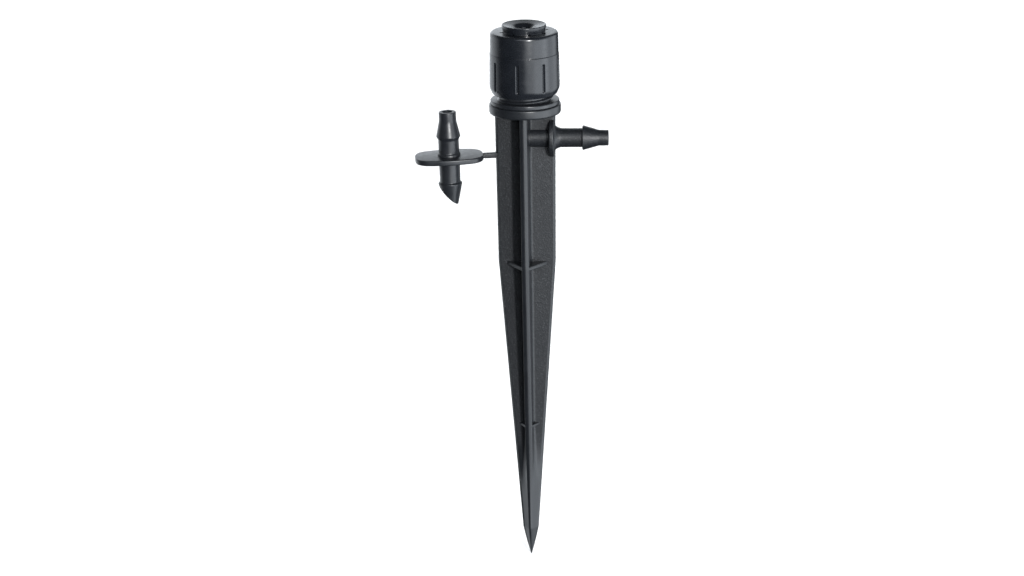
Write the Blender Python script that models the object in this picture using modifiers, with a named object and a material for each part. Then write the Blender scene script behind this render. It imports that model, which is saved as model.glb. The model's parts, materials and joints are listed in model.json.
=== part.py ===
"""Adjustable stake dripper: a ground stake with a screw cap, a tube barb and a spare connector.

Lengths are in metres. The origin is the tip of the stake, +Z runs up the stem to
the cap, +X points along the inlet barb and -Y is the front.
"""
import math

import bmesh
import bpy
from mathutils import Matrix, Vector

# Stem: a cross-shaped section that tapers to a four-sided point
STEM_TOP_Z = 0.1106
SHOULDER_Z = 0.074
ROOT_Z = 0.032
POINT_Z = 0.007
TIP_HALF = 0.00012
WIDTH_TOP = 0.00702
WIDTH_SHOULDER = 0.0067
WIDTH_POINT = 0.00185
DEPTH_TOP = 0.0075
DEPTH_POINT = 0.00205
BLADE_HALF = 0.00075
RIB_HALF = 0.00082
CORE_HALF = 0.00135
BLADE_HALF_AT_POINT = 0.00035
RIB_HALF_AT_POINT = 0.00045

# How far the cross is filled out, from 0 for the open cross to 1 for a solid bar
FILL_AT_POINT = 1.0
FILL_AT_MIDDLE = 0.4

# Gussets: thin level webs between the blade and the ribs
GUSSET_OVERLAP = 0.6
UPPER_GUSSET = {"z": 0.0735, "half_height": 0.00045, "out": 0.0049, "front": 0.0064}
LOWER_GUSSET = {"z": 0.0336, "half_height": 0.0003, "out": 0.0026, "front": 0.0036}

# Flange under the emitter
FLANGE_RADIUS = 0.00828
FLANGE_BOTTOM_Z = 0.10965
FLANGE_TOP_Z = 0.11185
FLANGE_EDGE = 0.0003
SOCKET_RADIUS = 0.003
SOCKET_FLOOR_Z = 0.1093
HUB_RADIUS = 0.0039
HUB_BOTTOM_Z = 0.1083

# Inlet barb, along +X
INLET_Z = 0.1036
TUBE_RADIUS = 0.0022
DISC_RADIUS = 0.0044
DISC_NEAR_X = 0.0056
DISC_FAR_X = 0.0067
COLLAR_X = 0.00765
COLLAR_RISE = 0.0007
INLET_ROOT_X = 0.0003
BARB_X = 0.0133
BARB_RADIUS = 0.00285
NOSE_X = 0.017
NOSE_RADIUS = 0.00182
INLET_END_X = 0.0192
INLET_BORE = 0.0011
RISER_BORE = 0.00075

# Emitter base: a disc and a threaded spigot that carries the cap
DISC_BOTTOM_Z = 0.11215
DISC_TOP_Z = 0.11285
BASE_RADIUS = 0.00795
PLUG_RADIUS = 0.0027
PLUG_BOTTOM_Z = 0.1096
SPIGOT_RADIUS = 0.006
SPIGOT_SHOULDER_Z = 0.1196
SPIGOT_SHOULDER_RISE = 0.0003
SEAL_NOSE_RADIUS = 0.0051
SEAL_NOSE_EDGE = 0.0004
SPIGOT_TOP_Z = 0.1243
SEAT_RADIUS = 0.0019
SEAT_FLOOR_Z = 0.1232
SPIGOT_BORE = 0.001

# Screw thread: one round ridge on the spigot and one in the cap, half a pitch apart
PITCH = 0.0016
RIDGE_RADIUS = 0.00038
SPIGOT_RIDGE_AT = 0.0062
CAP_RIDGE_AT = 0.00665
FRONT_RIDGE_Z = 0.1132
SPIGOT_RIDGE_FROM = math.radians(-200.0)
SPIGOT_RIDGE_TURNS = 3.69
CAP_RIDGE_FROM = math.radians(100.0)
CAP_RIDGE_TURNS = 2.72
POINTS_PER_TURN = 24

# Cap
CAP_BOTTOM_Z = 0.11435
CAP_SHOULDER_Z = 0.12872
CAP_LINE_Z = 0.12384
CAP_TOP_RADIUS = 0.0078
CAP_RADIUS = 0.00808
CAP_BOTTOM_RADIUS = 0.0074
CAP_CORNER_Z = 0.11575
CAP_EDGE = 0.0008
CAP_LINE_RADIUS = 0.00788
CAP_CORNER_ROUND = 0.0006
CAP_FOOT_EDGE = 0.00025
ARC_MIDDLE = 0.293
BOSS_RADIUS = 0.00515
BOSS_TOP_Z = 0.13035
BOSS_RIM = 0.00025
DISH_RADIUS = 0.0026
DISH_Z = 0.1299
RECESS_RADIUS = 0.0017
RECESS_TOP_Z = 0.1292
RECESS_FLOOR_Z = 0.1276
CAP_BORE = 0.00685
LIP_BORE = 0.00625
LIP_BOTTOM_Z = 0.1203
LIP_TOP_Z = 0.1211
GLAND_BORE = 0.0067
GLAND_TOP_Z = 0.1229
CHAMBER_BORE = 0.0054
CHAMBER_TOP_Z = 0.1262
NEEDLE_RADIUS = 0.0015
NEEDLE_CONE_Z = 0.12485
NEEDLE_TIP_RADIUS = 0.0006
NEEDLE_TIP_Z = 0.12375
GRIP_COUNT = 8
GRIP_WIDTH = 0.0007
GRIP_DEPTH = 0.00045
GRIP_TOP_Z = 0.12245
GRIP_FROM = math.radians(-90.0 - 8.0)
OUTLET_COUNT = 8
OUTLET_RADIUS = 0.00042
OUTLET_FROM = math.radians(-90.0 + 18.0)
OUTLET_INNER = (0.0029, 0.1261)
OUTLET_OUTER = (0.0061, 0.1297)

# Seal ring in the cap's gland
SEAL_CENTRE_RADIUS = 0.0059
SEAL_SECTION = 0.00065
SEAL_Z = 0.12205
SEAL_STEPS = 12

# Snap-off web and spare connector, turned forward about the blade's edge and sagging a little
WEB_Z = 0.09942
WEB_YAW = math.radians(9.0)
WEB_SAG = math.radians(1.2)
WEB_NEAR = 0.00035
WEB_FAR = 0.00255
WEB_WIDTH = 0.0012
WEB_HEIGHT = 0.0012
WEB_EDGE = 0.00015
CONNECTOR_AT = 0.01086
PLATE_LENGTH = 0.0158
PLATE_HALF_MIDDLE = 0.0056
PLATE_HALF_END = 0.0043
PLATE_END_BULGE = 0.0001
PLATE_END_ROUND = 0.0033
PLATE_MIDDLE_ROUND = 0.0026
PLATE_BOTTOM_Z = 0.09882
PLATE_TOP_Z = 0.10007
PLATE_EDGE = 0.0003
CONNECTOR_TOP_Z = 0.11038
CONNECTOR_NOSE_RADIUS = 0.002
CONNECTOR_CONE_TOP_Z = 0.1082
CONNECTOR_BARB_Z = 0.10454
CONNECTOR_BARB_RADIUS = 0.0028
CONNECTOR_NECK_Z = 0.10387
CONNECTOR_TUBE_RADIUS = 0.00237
CONNECTOR_BORE = 0.00115
LIP_Z = 0.09335
LIP_RISE = 0.0003
LIP_RADIUS = 0.00275
POINT_RADIUS = 0.0017
POINT_TIP_Z = 0.08842
CUT_YAW = math.radians(22.0)

ROUND_STEPS = 48
TUBE_STEPS = 32
BORE_STEPS = 16
CUTTER_SIZE = 0.02
STEP_EDGE = 0.0001
PAST = 0.001
WELD = 0.00001

# Moulded plastics and rubber: base colour and roughness
STAKE_PLASTIC = ((0.028, 0.031, 0.036), 0.55)
BASE_PLASTIC = ((0.028, 0.031, 0.036), 0.45)
CAP_PLASTIC = ((0.016, 0.018, 0.021), 0.3)
CONNECTOR_PLASTIC = ((0.022, 0.025, 0.03), 0.42)
SEAL_RUBBER = ((0.02, 0.02, 0.02), 0.6)

scene_objects = list(bpy.data.objects)
for old in scene_objects:
    bpy.data.objects.remove(old, do_unlink=True)

parts = bpy.data.collections.new("stake_dripper")
cutters = bpy.data.collections.new("cutters")
bpy.context.scene.collection.children.link(parts)
bpy.context.scene.collection.children.link(cutters)


def add_object(name, mesh, collection=cutters):
    """Put a mesh in the scene; everything but a finished part is a guide."""
    thing = bpy.data.objects.new(name, mesh)
    collection.objects.link(thing)
    if collection is cutters:
        thing.hide_render = True
        thing.display_type = "WIRE"
    return thing


def turned(name, profile, collection=cutters, steps=ROUND_STEPS):
    """Turn a profile of (radius, height) points about Z; a loop makes a ring."""
    mesh = bpy.data.meshes.new(name)
    is_loop = profile[0][0] > 0.0
    points = [(radius, 0.0, height) for radius, height in profile]
    edges = [(i, i + 1) for i in range(len(points) - 1)]
    if is_loop:
        edges.append((len(points) - 1, 0))
    mesh.from_pydata(points, edges, [])
    thing = add_object(name, mesh, collection)
    screw = thing.modifiers.new("turn", "SCREW")
    screw.axis = "Z"
    screw.angle = math.tau
    screw.steps = steps
    screw.render_steps = steps
    screw.use_merge_vertices = True
    screw.merge_threshold = WELD
    return thing


def along_x(thing, x=0.0, z=0.0):
    """Lay a turned piece down, so that its height runs along +X."""
    thing.matrix_world = Matrix.Translation((x, 0.0, z)) @ Matrix.Rotation(math.pi / 2, 4, "Y")
    return thing


def extruded(name, outline, half_height, z, collection=cutters):
    """Fill a flat outline and give it thickness about height z."""
    curve = bpy.data.curves.new(name, "CURVE")
    curve.dimensions = "2D"
    curve.fill_mode = "BOTH"
    curve.extrude = half_height
    spline = curve.splines.new("POLY")
    spline.points.add(len(outline) - 1)
    for point, (x, y) in zip(spline.points, outline):
        point.co = (x, y, 0.0, 1.0)
    spline.use_cyclic_u = True
    return curve_to_mesh(name, curve, Matrix.Translation((0.0, 0.0, z)), collection)


def helix(name, radius, from_angle, turns, front_z):
    """A round ridge that climbs one pitch a turn and passes front_z at the front."""
    curve = bpy.data.curves.new(name, "CURVE")
    curve.dimensions = "3D"
    curve.bevel_depth = RIDGE_RADIUS
    curve.bevel_resolution = 1
    curve.use_fill_caps = True
    count = round(turns * POINTS_PER_TURN) + 1
    spline = curve.splines.new("POLY")
    spline.points.add(count - 1)
    for i, point in enumerate(spline.points):
        angle = from_angle + i * math.tau / POINTS_PER_TURN
        height = front_z + PITCH * (angle + math.pi / 2) / math.tau
        point.co = (radius * math.cos(angle), radius * math.sin(angle), height, 1.0)
    return curve_to_mesh(name, curve, Matrix.Identity(4))


def curve_to_mesh(name, curve, matrix, collection=cutters):
    """Make a curve a closed mesh with welded caps."""
    source = bpy.data.objects.new(name + "_curve", curve)
    cutters.objects.link(source)
    evaluated = source.evaluated_get(bpy.context.evaluated_depsgraph_get())
    mesh = bpy.data.meshes.new_from_object(evaluated)
    mesh.name = name
    bpy.data.objects.remove(source, do_unlink=True)
    shape = bmesh.new()
    shape.from_mesh(mesh)
    bmesh.ops.remove_doubles(shape, verts=shape.verts, dist=WELD)
    bmesh.ops.recalc_face_normals(shape, faces=shape.faces)
    shape.to_mesh(mesh)
    shape.free()
    mesh.materials.clear()
    thing = add_object(name, mesh, collection)
    thing.matrix_world = matrix
    return thing


def rod(name, start, end, radius, steps=12):
    """A plain round bar between two points."""
    start, end = Vector(start), Vector(end)
    shape = bmesh.new()
    bmesh.ops.create_cone(shape, cap_ends=True, segments=steps, radius1=radius,
                          radius2=radius, depth=(end - start).length)
    mesh = bpy.data.meshes.new(name)
    shape.to_mesh(mesh)
    shape.free()
    thing = add_object(name, mesh)
    turn = (end - start).to_track_quat("Z", "Y").to_matrix().to_4x4()
    thing.matrix_world = Matrix.Translation((start + end) / 2) @ turn
    return thing


def block(name, size, matrix, collection=cutters):
    """A box of the given size, placed by a matrix."""
    shape = bmesh.new()
    bmesh.ops.create_cube(shape, size=1.0, matrix=Matrix.Diagonal((*size, 1.0)))
    mesh = bpy.data.meshes.new(name)
    shape.to_mesh(mesh)
    shape.free()
    thing = add_object(name, mesh, collection)
    thing.matrix_world = matrix
    return thing


def combine(target, operation, *tools, solver="EXACT"):
    """Add one Boolean for each tool, in order."""
    for tool in tools:
        cut = target.modifiers.new(tool.name, "BOOLEAN")
        cut.operation = operation
        cut.solver = solver
        cut.object = tool


def finish(thing, look):
    """Give a part its moulded plastic or rubber and smooth its round faces."""
    colour, roughness = look
    plastic = bpy.data.materials.new(thing.name)
    plastic.use_nodes = True
    surface = plastic.node_tree.nodes["Principled BSDF"]
    surface.inputs["Base Color"].default_value = (*colour, 1.0)
    surface.inputs["Roughness"].default_value = roughness
    surface.inputs["Metallic"].default_value = 0.0
    thing.data.materials.append(plastic)
    thing.data.shade_smooth()
    thing.data.set_sharp_from_angle(angle=math.radians(35.0))


def stem_ring(z, half_width, half_depth, blade, rib, core, fill):
    """One section of the stem: a cross at fill 0, a four-sided bar at fill 1."""
    side = Vector((half_width, blade))
    front = Vector((rib, half_depth))
    near_blade = Vector((core, blade)).lerp(side.lerp(front, 1 / 3), fill)
    near_rib = Vector((rib, core)).lerp(side.lerp(front, 2 / 3), fill)
    quarter = [side, near_blade, near_rib, front]
    ring = [(p.x, p.y) for p in quarter]
    ring += [(-p.x, p.y) for p in reversed(quarter)]
    ring += [(-p.x, -p.y) for p in quarter]
    ring += [(p.x, -p.y) for p in reversed(quarter)]
    return [(x, y, z) for x, y in ring]


def stem_taper(z):
    """Half width and half depth where the stem tapers, below its shoulder."""
    share = (z - POINT_Z) / (SHOULDER_Z - POINT_Z)
    half_width = WIDTH_POINT + share * (WIDTH_SHOULDER - WIDTH_POINT)
    half_depth = DEPTH_POINT + share * (DEPTH_TOP - DEPTH_POINT)
    return half_width, half_depth


def make_stem():
    """Loft the stem through its sections, from the tip up."""
    mid_z = (POINT_Z + ROOT_Z) / 2
    rings = [
        stem_ring(0.0, TIP_HALF, TIP_HALF, TIP_HALF / 3, TIP_HALF / 3, TIP_HALF / 2,
                  FILL_AT_POINT),
        stem_ring(POINT_Z, *stem_taper(POINT_Z), BLADE_HALF_AT_POINT, RIB_HALF_AT_POINT,
                  CORE_HALF, FILL_AT_POINT),
        stem_ring(mid_z, *stem_taper(mid_z), BLADE_HALF, RIB_HALF, CORE_HALF, FILL_AT_MIDDLE),
        stem_ring(ROOT_Z, *stem_taper(ROOT_Z), BLADE_HALF, RIB_HALF, CORE_HALF, 0.0),
        stem_ring(SHOULDER_Z, WIDTH_SHOULDER, DEPTH_TOP, BLADE_HALF, RIB_HALF, CORE_HALF, 0.0),
        stem_ring(STEM_TOP_Z, WIDTH_TOP, DEPTH_TOP, BLADE_HALF, RIB_HALF, CORE_HALF, 0.0),
    ]
    shape = bmesh.new()
    loops = [[shape.verts.new(point) for point in ring] for ring in rings]
    count = len(loops[0])
    for low, high in zip(loops, loops[1:]):
        for i in range(count):
            j = (i + 1) % count
            shape.faces.new((low[i], low[j], high[j], high[i]))
    shape.faces.new(reversed(loops[0]))
    shape.faces.new(loops[-1])
    mesh = bpy.data.meshes.new("stake_body")
    shape.to_mesh(mesh)
    shape.free()
    return add_object("stake_body", mesh, parts)


def make_gusset(name, place):
    """A level web on both sides of the blade, from near its edges to the ribs."""
    out, front = place["out"], place["front"]
    flank, face = RIB_HALF * GUSSET_OVERLAP, BLADE_HALF * GUSSET_OVERLAP
    outline = [(out, face), (flank, front), (-flank, front), (-out, face),
               (-out, -face), (-flank, -front), (flank, -front), (out, -face)]
    return extruded(name, outline, place["half_height"], place["z"])


def make_stake():
    """The moulded stake: stem, flange, gussets and inlet barb with its water way."""
    stake = make_stem()
    flange = turned("flange", [
        (0.0, FLANGE_TOP_Z),
        (FLANGE_RADIUS - FLANGE_EDGE, FLANGE_TOP_Z),
        (FLANGE_RADIUS, FLANGE_TOP_Z - FLANGE_EDGE),
        (FLANGE_RADIUS, FLANGE_BOTTOM_Z + FLANGE_EDGE),
        (FLANGE_RADIUS - FLANGE_EDGE, FLANGE_BOTTOM_Z),
        (HUB_RADIUS, FLANGE_BOTTOM_Z),
        (HUB_RADIUS, SOCKET_FLOOR_Z),
        (CORE_HALF, HUB_BOTTOM_Z),
        (0.0, HUB_BOTTOM_Z),
    ])
    inlet = along_x(turned("inlet", [
        (0.0, INLET_END_X),
        (NOSE_RADIUS, INLET_END_X),
        (NOSE_RADIUS, NOSE_X),
        (BARB_RADIUS, BARB_X),
        (TUBE_RADIUS, BARB_X - STEP_EDGE),
        (TUBE_RADIUS, COLLAR_X),
        (TUBE_RADIUS + COLLAR_RISE, DISC_FAR_X),
        (DISC_RADIUS, DISC_FAR_X - STEP_EDGE),
        (DISC_RADIUS, DISC_NEAR_X),
        (TUBE_RADIUS, DISC_NEAR_X),
        (TUBE_RADIUS, INLET_ROOT_X),
        (0.0, INLET_ROOT_X),
    ], steps=TUBE_STEPS), z=INLET_Z)
    gussets = [make_gusset("upper_gusset", UPPER_GUSSET),
               make_gusset("lower_gusset", LOWER_GUSSET)]
    combine(stake, "UNION", flange, inlet, *gussets)
    way_in = rod("inlet_bore", (0.0, 0.0, INLET_Z), (INLET_END_X + PAST, 0.0, INLET_Z),
                 INLET_BORE, steps=BORE_STEPS)
    riser = rod("riser_bore", (0.0, 0.0, INLET_Z), (0.0, 0.0, SOCKET_FLOOR_Z + PAST), RISER_BORE)
    socket = rod("socket", (0.0, 0.0, SOCKET_FLOOR_Z), (0.0, 0.0, FLANGE_TOP_Z + PAST),
                 SOCKET_RADIUS, steps=TUBE_STEPS)
    combine(stake, "DIFFERENCE", way_in, riser, socket, solver="MANIFOLD")
    finish(stake, STAKE_PLASTIC)


def make_emitter_base():
    """The disc and the threaded spigot, bored through to the needle seat."""
    base = turned("emitter_base", [
        (SPIGOT_BORE, SEAT_FLOOR_Z),
        (SEAT_RADIUS, SPIGOT_TOP_Z),
        (SEAL_NOSE_RADIUS - SEAL_NOSE_EDGE, SPIGOT_TOP_Z),
        (SEAL_NOSE_RADIUS, SPIGOT_TOP_Z - SEAL_NOSE_EDGE),
        (SEAL_NOSE_RADIUS, SPIGOT_SHOULDER_Z + SPIGOT_SHOULDER_RISE),
        (SPIGOT_RADIUS, SPIGOT_SHOULDER_Z),
        (SPIGOT_RADIUS, DISC_TOP_Z),
        (BASE_RADIUS, DISC_TOP_Z),
        (BASE_RADIUS, DISC_BOTTOM_Z),
        (PLUG_RADIUS, DISC_BOTTOM_Z),
        (PLUG_RADIUS, PLUG_BOTTOM_Z),
        (SPIGOT_BORE, PLUG_BOTTOM_Z),
    ], collection=parts)
    ridge = helix("spigot_ridge", SPIGOT_RIDGE_AT, SPIGOT_RIDGE_FROM,
                  SPIGOT_RIDGE_TURNS, FRONT_RIDGE_Z)
    combine(base, "UNION", ridge)
    finish(base, BASE_PLASTIC)


def make_seal():
    """The ring that the cap carries and that wipes the spigot's smooth nose."""
    profile = []
    for i in range(SEAL_STEPS):
        angle = math.pi / 2 - i * math.tau / SEAL_STEPS
        profile.append((SEAL_CENTRE_RADIUS + SEAL_SECTION * math.cos(angle),
                        SEAL_Z + SEAL_SECTION * math.sin(angle)))
    seal = turned("cap_seal_ring", profile, collection=parts)
    finish(seal, SEAL_RUBBER)


def make_cap():
    """The cap: grip grooves, dished boss, eight outlets, thread ridge and needle."""
    cap = turned("flow_cap", [
        (0.0, RECESS_FLOOR_Z),
        (RECESS_RADIUS, RECESS_FLOOR_Z),
        (RECESS_RADIUS, RECESS_TOP_Z),
        (DISH_RADIUS, DISH_Z),
        (BOSS_RADIUS - BOSS_RIM, BOSS_TOP_Z),
        (BOSS_RADIUS, BOSS_TOP_Z - BOSS_RIM / 2),
        (BOSS_RADIUS, CAP_SHOULDER_Z - STEP_EDGE),
        (CAP_TOP_RADIUS - CAP_EDGE, CAP_SHOULDER_Z),
        (CAP_TOP_RADIUS - CAP_EDGE * ARC_MIDDLE, CAP_SHOULDER_Z - CAP_EDGE * ARC_MIDDLE),
        (CAP_TOP_RADIUS, CAP_SHOULDER_Z - CAP_EDGE),
        (CAP_LINE_RADIUS, CAP_LINE_Z),
        (CAP_LINE_RADIUS + STEP_EDGE, CAP_LINE_Z - STEP_EDGE),
        (CAP_RADIUS, CAP_CORNER_Z + CAP_CORNER_ROUND),
        (CAP_RADIUS - CAP_CORNER_ROUND * ARC_MIDDLE, CAP_CORNER_Z),
        (CAP_BOTTOM_RADIUS + CAP_FOOT_EDGE, CAP_BOTTOM_Z + CAP_FOOT_EDGE),
        (CAP_BOTTOM_RADIUS, CAP_BOTTOM_Z),
        (CAP_BORE, CAP_BOTTOM_Z),
        (CAP_BORE, LIP_BOTTOM_Z),
        (LIP_BORE, LIP_BOTTOM_Z),
        (LIP_BORE, LIP_TOP_Z),
        (GLAND_BORE, LIP_TOP_Z),
        (GLAND_BORE, GLAND_TOP_Z),
        (CHAMBER_BORE, GLAND_TOP_Z),
        (CHAMBER_BORE, CHAMBER_TOP_Z),
        (NEEDLE_RADIUS, CHAMBER_TOP_Z),
        (NEEDLE_RADIUS, NEEDLE_CONE_Z),
        (NEEDLE_TIP_RADIUS, NEEDLE_TIP_Z),
        (0.0, NEEDLE_TIP_Z),
    ], collection=parts)
    ridge = helix("cap_ridge", CAP_RIDGE_AT, CAP_RIDGE_FROM, CAP_RIDGE_TURNS,
                  FRONT_RIDGE_Z + PITCH / 2)
    combine(cap, "UNION", ridge)
    groove_height = GRIP_TOP_Z - CAP_BOTTOM_Z + PAST
    for i in range(GRIP_COUNT):
        turn = Matrix.Rotation(GRIP_FROM + i * math.tau / GRIP_COUNT, 4, "Z")
        place = Matrix.Translation((CAP_RADIUS, 0.0, GRIP_TOP_Z - groove_height / 2))
        groove = block(f"grip_groove_{i + 1}", (2 * GRIP_DEPTH, GRIP_WIDTH, groove_height),
                       turn @ place)
        combine(cap, "DIFFERENCE", groove)
    for i in range(OUTLET_COUNT):
        angle = OUTLET_FROM + i * math.tau / OUTLET_COUNT
        ends = [(radius * math.cos(angle), radius * math.sin(angle), z)
                for radius, z in (OUTLET_INNER, OUTLET_OUTER)]
        outlet = rod(f"outlet_{i + 1}", *ends, OUTLET_RADIUS, steps=8)
        combine(cap, "DIFFERENCE", outlet)
    finish(cap, CAP_PLASTIC)


def make_pivot():
    """The empty at the blade's edge that the web and the connector hang on."""
    share = (WEB_Z - SHOULDER_Z) / (STEM_TOP_Z - SHOULDER_Z)
    edge_x = WIDTH_SHOULDER + share * (WIDTH_TOP - WIDTH_SHOULDER)
    pivot = bpy.data.objects.new("web_pivot", None)
    pivot.empty_display_size = 0.004
    pivot.location = (-edge_x, 0.0, WEB_Z)
    pivot.rotation_euler = (0.0, -WEB_SAG, WEB_YAW)
    parts.objects.link(pivot)
    return pivot


def make_web(pivot):
    """The thin bridge that is snapped to free the connector."""
    middle = Matrix.Translation((-(WEB_NEAR + WEB_FAR) / 2, 0.0, 0.0))
    web = block("connector_web", (WEB_FAR - WEB_NEAR, WEB_WIDTH, WEB_HEIGHT), middle, parts)
    soften = web.modifiers.new("edges", "BEVEL")
    soften.width = WEB_EDGE
    soften.segments = 2
    web.parent = pivot
    finish(web, STAKE_PLASTIC)


def rounded(corners, steps=8):
    """A closed outline with each corner (x, y, reach) rounded over its reach."""
    outline = []
    for i, (x, y, reach) in enumerate(corners):
        here = Vector((x, y))
        before = Vector(corners[i - 1][:2])
        after = Vector(corners[(i + 1) % len(corners)][:2])
        start = here + (before - here).normalized() * reach
        end = here + (after - here).normalized() * reach
        for k in range(steps + 1 if reach else 1):
            t = k / steps
            point = start * (1 - t) ** 2 + here * 2 * t * (1 - t) + end * t * t
            outline.append((point.x, point.y))
    return outline


def make_plate():
    """The long plate that the fingers hold, widest in the middle, with round ends."""
    end = PLATE_LENGTH / 2
    side = end - PLATE_END_BULGE
    corners = []
    for way in (1, -1):
        corners += [
            (0.0, way * PLATE_HALF_MIDDLE, PLATE_MIDDLE_ROUND),
            (way * side, way * PLATE_HALF_END, PLATE_END_ROUND),
            (way * end, 0.0, 0.0),
            (way * side, -way * PLATE_HALF_END, PLATE_END_ROUND),
        ]
    half = (PLATE_TOP_Z - PLATE_BOTTOM_Z) / 2
    plate = extruded("grip_plate", rounded(corners), half, (PLATE_TOP_Z + PLATE_BOTTOM_Z) / 2)
    soften = plate.modifiers.new("edges", "BEVEL")
    soften.width = PLATE_EDGE
    soften.segments = 2
    soften.limit_method = "ANGLE"
    soften.angle_limit = math.radians(60.0)
    return plate


def make_connector(pivot):
    """The double-ended connector: tube barb above, piercing point below."""
    connector = turned("spare_connector", [
        (0.0, CONNECTOR_TOP_Z),
        (CONNECTOR_NOSE_RADIUS, CONNECTOR_TOP_Z),
        (CONNECTOR_NOSE_RADIUS, CONNECTOR_CONE_TOP_Z),
        (CONNECTOR_BARB_RADIUS, CONNECTOR_BARB_Z),
        (CONNECTOR_TUBE_RADIUS, CONNECTOR_NECK_Z),
        (CONNECTOR_TUBE_RADIUS, LIP_Z + LIP_RISE),
        (LIP_RADIUS, LIP_Z),
        (POINT_RADIUS, POINT_TIP_Z - LIP_RISE),
        (0.0, POINT_TIP_Z - LIP_RISE),
    ], collection=parts, steps=TUBE_STEPS)
    combine(connector, "UNION", make_plate())
    bore = rod("connector_bore", (0.0, 0.0, POINT_TIP_Z - PAST),
               (0.0, 0.0, CONNECTOR_TOP_Z + PAST), CONNECTOR_BORE, steps=BORE_STEPS)
    slope = math.atan2(LIP_Z - POINT_TIP_Z, LIP_RADIUS + POINT_RADIUS)
    size = CUTTER_SIZE
    below = Matrix.Translation((0.0, 0.0, -size / 2))
    middle = Vector(((POINT_RADIUS - LIP_RADIUS) / 2, 0.0, (LIP_Z + POINT_TIP_Z) / 2))
    tilt = Matrix.Translation(middle) @ Matrix.Rotation(slope, 4, "Y") @ below
    point_cut = block("point_cut", (size, size, size), Matrix.Rotation(-CUT_YAW, 4, "Z") @ tilt)
    combine(connector, "DIFFERENCE", bore, point_cut)
    shift = Matrix.Translation((-CONNECTOR_AT, 0.0, -WEB_Z))
    connector.location = shift.to_translation()
    connector.parent = pivot
    for tool in [modifier.object for modifier in connector.modifiers if modifier.type == "BOOLEAN"]:
        tool.matrix_world = pivot.matrix_basis @ shift @ tool.matrix_world
    finish(connector, CONNECTOR_PLASTIC)


make_stake()
make_emitter_base()
make_seal()
make_cap()
web_pivot = make_pivot()
make_web(web_pivot)
make_connector(web_pivot)
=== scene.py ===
"""The looks of the adjustable stake dripper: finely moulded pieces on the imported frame."""

import json
import math

import bmesh
import bpy
from mathutils import Matrix, Vector


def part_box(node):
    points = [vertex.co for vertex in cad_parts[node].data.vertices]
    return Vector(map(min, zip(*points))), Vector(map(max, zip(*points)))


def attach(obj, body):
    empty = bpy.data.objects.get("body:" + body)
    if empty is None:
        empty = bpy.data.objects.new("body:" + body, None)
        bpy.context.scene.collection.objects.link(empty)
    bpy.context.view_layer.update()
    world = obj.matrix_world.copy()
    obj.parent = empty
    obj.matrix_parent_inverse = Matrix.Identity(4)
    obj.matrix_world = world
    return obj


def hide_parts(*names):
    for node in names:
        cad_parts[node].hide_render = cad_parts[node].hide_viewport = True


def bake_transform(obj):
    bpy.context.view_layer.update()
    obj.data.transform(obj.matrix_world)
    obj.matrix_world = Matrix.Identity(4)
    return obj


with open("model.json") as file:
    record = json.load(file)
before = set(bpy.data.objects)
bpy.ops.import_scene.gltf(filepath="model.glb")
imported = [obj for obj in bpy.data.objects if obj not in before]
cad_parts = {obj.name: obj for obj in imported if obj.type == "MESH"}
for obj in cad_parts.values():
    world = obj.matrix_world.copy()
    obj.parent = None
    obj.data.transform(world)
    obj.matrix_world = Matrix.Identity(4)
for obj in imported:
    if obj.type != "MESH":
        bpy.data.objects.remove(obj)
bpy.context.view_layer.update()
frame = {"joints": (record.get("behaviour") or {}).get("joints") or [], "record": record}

# Sizes that the frame gives, in metres
stake_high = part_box("stake_body")[1]
base_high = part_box("emitter_base")[1]
cap_low, cap_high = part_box("flow_cap")
seal_low, seal_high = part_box("cap_seal_ring")
joints = {joint["name"]: joint for joint in frame["joints"]}

FLANGE_RADIUS = stake_high.y
FLANGE_TOP = stake_high.z
INLET_END = stake_high.x
DISC_RADIUS = base_high.x
SPIGOT_TOP = base_high.z
CAP_RADIUS = cap_high.y
CAP_BOTTOM = cap_low.z
BOSS_TOP = cap_high.z
WEB_HINGE = Vector(joints["web_flex"]["pos_m"])
SPARE_AWAY = Vector(joints["connector_snap_off"]["axis"])
TURNS_PER_METRE = frame["record"]["behaviour"]["couplings"][0]["ratio"] / math.tau
PITCH = 1.0 / TURNS_PER_METRE

MM = 0.001
WELD = 1e-7
ROUND = 144
TUBE_ROUND = 96
BORE_ROUND = 20
SHARP_DEGREES = 32.0
RIDGE_STEPS = 72
RIDGE_FADE = 0.12
RIDGE_END = 0.15
FRONT_TURN = -0.25


# ---------------------------------------------------------------- mesh tools

def mix(low, high, share):
    """Blend two numbers."""
    return low + (high - low) * share


def ease(share):
    """Blend smoothly from 0 to 1."""
    share = min(1.0, max(0.0, share))
    return share * share * (3 - 2 * share)


def rounded(corners, steps=5, loop=False):
    """An outline with its corners rounded; each corner is (x, y, distance that the round takes)."""
    points = []
    count = len(corners)
    for i, (x, y, reach) in enumerate(corners):
        here = Vector((x, y))
        is_end = not loop and i in (0, count - 1)
        if is_end or reach == 0:
            points.append(here)
            continue
        before = Vector(corners[i - 1][:2])
        after = Vector(corners[(i + 1) % count][:2])
        start = here + (before - here).normalized() * reach
        end = here + (after - here).normalized() * reach
        for k in range(steps + 1):
            t = k / steps
            points.append(start * (1 - t) ** 2 + here * 2 * t * (1 - t) + end * t * t)
    return points


def make_piece(name, shape):
    """Weld a bmesh, turn its faces out and link it as a new object."""
    bmesh.ops.remove_doubles(shape, verts=shape.verts, dist=WELD)
    bmesh.ops.recalc_face_normals(shape, faces=shape.faces)
    mesh = bpy.data.meshes.new(name)
    shape.to_mesh(mesh)
    shape.free()
    piece = bpy.data.objects.new(name, mesh)
    bpy.context.scene.collection.objects.link(piece)
    return piece


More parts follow.
